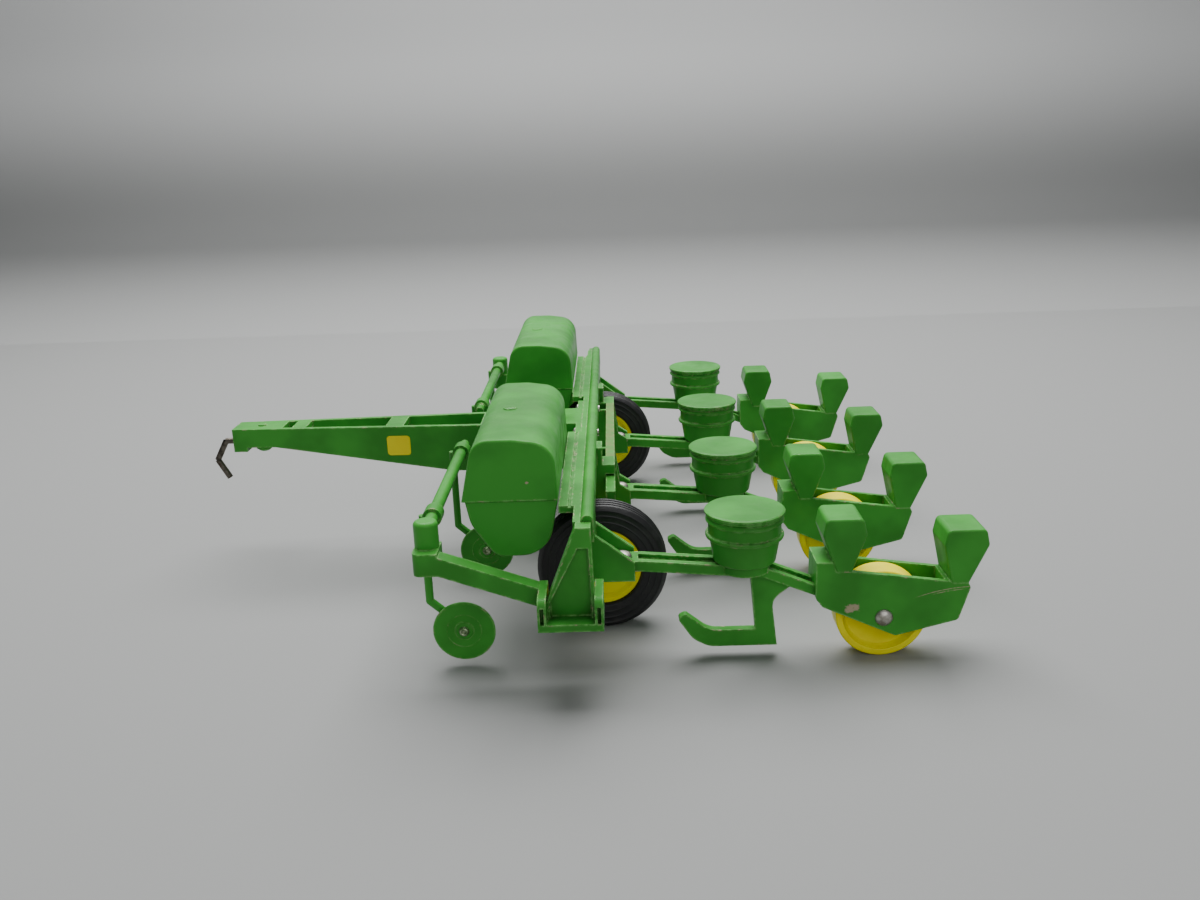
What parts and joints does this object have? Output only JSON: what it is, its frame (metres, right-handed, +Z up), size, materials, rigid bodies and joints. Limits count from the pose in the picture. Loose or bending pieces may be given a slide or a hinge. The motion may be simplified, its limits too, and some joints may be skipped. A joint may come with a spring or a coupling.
{
  "type": "toy corn planter",
  "caption": "Die-cast toy row-crop planter: tongue with wire hook, twin hoppers on a cross beam, carrying wheels, disc openers and trailing seed units with press wheels.",
  "frame": {"origin": "middle of the toy's outline, on the ground under it", "axes": "+X forward to the hitch, +Y to the left, +Z up"},
  "size_m": [0.245, 0.236, 0.068],
  "materials": {
    "green_enamel": "gloss enamel on die-cast zinc, lightly worn",
    "yellow_plastic": "moulded, semi-gloss",
    "tyre_rubber": "moulded rubber, satin",
    "rivet_steel": "plated, slightly dull",
    "hook_steel": "dark oxidised wire"
  },
  "bodies": {
    "frame": {"axle": "rivet_steel", "disc_arm_1": "green_enamel", "disc_arm_2": "green_enamel", "disc_arm_3": "green_enamel", "disc_arm_4": "green_enamel", "disc_rivets": "rivet_steel", "front_bar_left": "green_enamel", "front_bar_right": "green_enamel", "hitch_hook": "hook_steel", "hitch_rivet": "rivet_steel", "hopper_body_left": "green_enamel", "hopper_body_right": "green_enamel", "hopper_lid_left": "green_enamel", "hopper_lid_right": "green_enamel", "hopper_rivets": "rivet_steel", "rear_beam": "green_enamel", "row_pivot_rivets": "rivet_steel", "side_frame_left": "green_enamel", "side_frame_right": "green_enamel", "tongue": "green_enamel", "tongue_rivets": "rivet_steel"},
    "wheel_left": {"wheel_rim_left": "yellow_plastic", "tyre_left": "tyre_rubber"},
    "wheel_right": {"wheel_rim_right": "yellow_plastic", "tyre_right": "tyre_rubber"},
    "disc_1": {"disc_1": "green_enamel"},
    "row_1": {"row_arm_1": "green_enamel", "seed_can_1": "green_enamel", "can_lid_1": "green_enamel", "press_frame_1": "green_enamel", "press_axle_1": "rivet_steel"},
    "press_wheel_1": {"press_wheel_1": "yellow_plastic"},
    "disc_2": {"disc_2": "green_enamel"},
    "row_2": {"row_arm_2": "green_enamel", "seed_can_2": "green_enamel", "can_lid_2": "green_enamel", "press_frame_2": "green_enamel", "press_axle_2": "rivet_steel"},
    "press_wheel_2": {"press_wheel_2": "yellow_plastic"},
    "disc_3": {"disc_3": "green_enamel"},
    "row_3": {"row_arm_3": "green_enamel", "seed_can_3": "green_enamel", "can_lid_3": "green_enamel", "press_frame_3": "green_enamel", "press_axle_3": "rivet_steel"},
    "press_wheel_3": {"press_wheel_3": "yellow_plastic"},
    "disc_4": {"disc_4": "green_enamel"},
    "row_4": {"row_arm_4": "green_enamel", "seed_can_4": "green_enamel", "can_lid_4": "green_enamel", "press_frame_4": "green_enamel", "press_axle_4": "rivet_steel"},
    "press_wheel_4": {"press_wheel_4": "yellow_plastic"}
  },
  "joints": [
    {"name": "wheel_left_spin", "type": "hinge", "parent": "frame", "child": "wheel_left", "pos_m": [-0.01667, 0.0675, 0.0195], "axis": [0, 1, 0], "continuous": true},
    {"name": "wheel_right_spin", "type": "hinge", "parent": "frame", "child": "wheel_right", "pos_m": [-0.01667, -0.0675, 0.0195], "axis": [0, 1, 0], "continuous": true},
    {"name": "disc_1_spin", "type": "hinge", "parent": "frame", "child": "disc_1", "pos_m": [0.02262, 0.09045, 0.0105], "axis": [0, 1, 0], "continuous": true},
    {"name": "disc_2_spin", "type": "hinge", "parent": "frame", "child": "disc_2", "pos_m": [0.02262, 0.03015, 0.0105], "axis": [0, 1, 0], "continuous": true},
    {"name": "disc_3_spin", "type": "hinge", "parent": "frame", "child": "disc_3", "pos_m": [0.02262, -0.03015, 0.0105], "axis": [0, 1, 0], "continuous": true},
    {"name": "disc_4_spin", "type": "hinge", "parent": "frame", "child": "disc_4", "pos_m": [0.02262, -0.09045, 0.0105], "axis": [0, 1, 0], "continuous": true},
    {"name": "row_1_swivel", "type": "hinge", "parent": "frame", "child": "row_1", "pos_m": [-0.02268, 0.09045, 0.0292], "axis": [0, 0, 1], "range_deg": [-5, 5]},
    {"name": "row_2_swivel", "type": "hinge", "parent": "frame", "child": "row_2", "pos_m": [-0.02268, 0.03015, 0.0292], "axis": [0, 0, 1], "range_deg": [-5, 5]},
    {"name": "row_3_swivel", "type": "hinge", "parent": "frame", "child": "row_3", "pos_m": [-0.02268, -0.03015, 0.0292], "axis": [0, 0, 1], "range_deg": [-5, 5]},
    {"name": "row_4_swivel", "type": "hinge", "parent": "frame", "child": "row_4", "pos_m": [-0.02268, -0.09045, 0.0292], "axis": [0, 0, 1], "range_deg": [-5, 5]},
    {"name": "press_wheel_1_spin", "type": "hinge", "parent": "row_1", "child": "press_wheel_1", "pos_m": [-0.09467, 0.09045, 0.0128], "axis": [0, 1, 0], "continuous": true},
    {"name": "press_wheel_2_spin", "type": "hinge", "parent": "row_2", "child": "press_wheel_2", "pos_m": [-0.09467, 0.03015, 0.0128], "axis": [0, 1, 0], "continuous": true},
    {"name": "press_wheel_3_spin", "type": "hinge", "parent": "row_3", "child": "press_wheel_3", "pos_m": [-0.09467, -0.03015, 0.0128], "axis": [0, 1, 0], "continuous": true},
    {"name": "press_wheel_4_spin", "type": "hinge", "parent": "row_4", "child": "press_wheel_4", "pos_m": [-0.09467, -0.09045, 0.0128], "axis": [0, 1, 0], "continuous": true}
  ]
}
